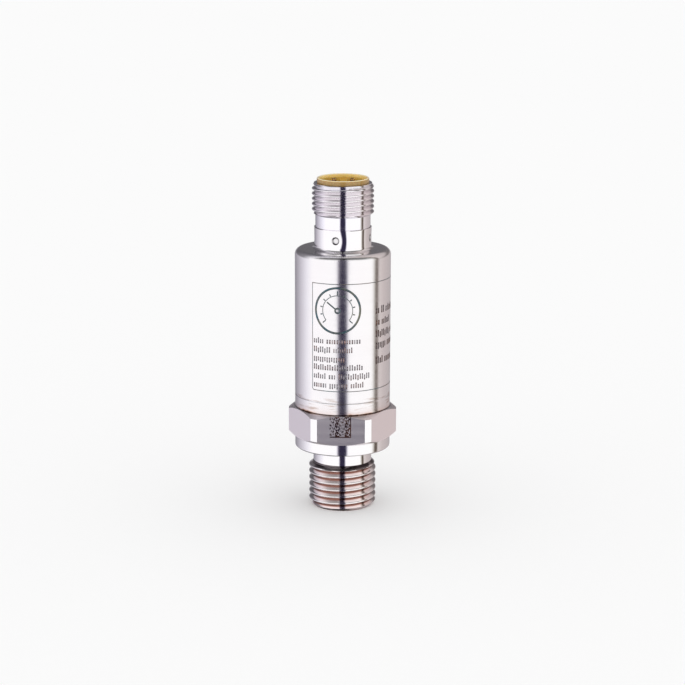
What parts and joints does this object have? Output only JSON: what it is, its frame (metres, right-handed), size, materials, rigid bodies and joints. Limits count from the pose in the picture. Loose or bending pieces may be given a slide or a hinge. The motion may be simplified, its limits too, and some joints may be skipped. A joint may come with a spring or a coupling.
{
  "type": "pressure transmitter",
  "caption": "Slim cylindrical pressure transmitter with a threaded hexagonal process connection below and a round pin plug connector on top.",
  "frame": {"origin": "on the axis, in the plane of the process thread's end", "axes": "+Z along the axis, from the process thread to the plug connector; +Y towards the connector's coding key; -Y out of one flat of the hexagon"},
  "size_m": [0.021, 0.019, 0.0652],
  "materials": {
    "housing_steel": "satin turned stainless steel, welded at its foot",
    "connection_steel": "turned stainless steel, polished faces",
    "connector_steel": "turned stainless steel, bright",
    "cell_steel": "ground stainless steel",
    "amber_plastic": "amber moulded plastic, slightly clear",
    "contact_gold": "gold-plated brass",
    "seal_rubber": "black rubber",
    "board_laminate": "green circuit-board laminate",
    "chip_plastic": "black moulded chip body",
    "ceramic": "fired ceramic with tinned ends",
    "frame_plastic": "dark glass-filled plastic",
    "flex_film": "amber film over copper tracks",
    "spring_bronze": "phosphor bronze strip"
  },
  "bodies": {
    "root": {"process_connection": "connection_steel", "measuring_cell": "cell_steel", "cell_board": "board_laminate", "housing_sleeve": "housing_steel", "connector_sleeve": "connector_steel", "sleeve_seal": "seal_rubber", "carrier_seal": "seal_rubber", "contact_carrier": "amber_plastic", "contact_pin_1": "contact_gold", "contact_pin_2": "contact_gold", "contact_pin_3": "contact_gold", "contact_pin_4": "contact_gold", "pin_board": "board_laminate", "board_carrier": "frame_plastic", "circuit_board": "board_laminate", "signal_processor": "chip_plastic", "memory_chip": "chip_plastic", "supply_capacitors": "ceramic", "resistors": "chip_plastic", "output_driver": "chip_plastic", "voltage_regulator": "chip_plastic", "surge_diodes": "chip_plastic", "link_pins": "contact_gold", "flex_lead": "flex_film", "ground_spring": "spring_bronze"}
  },
  "joints": []
}
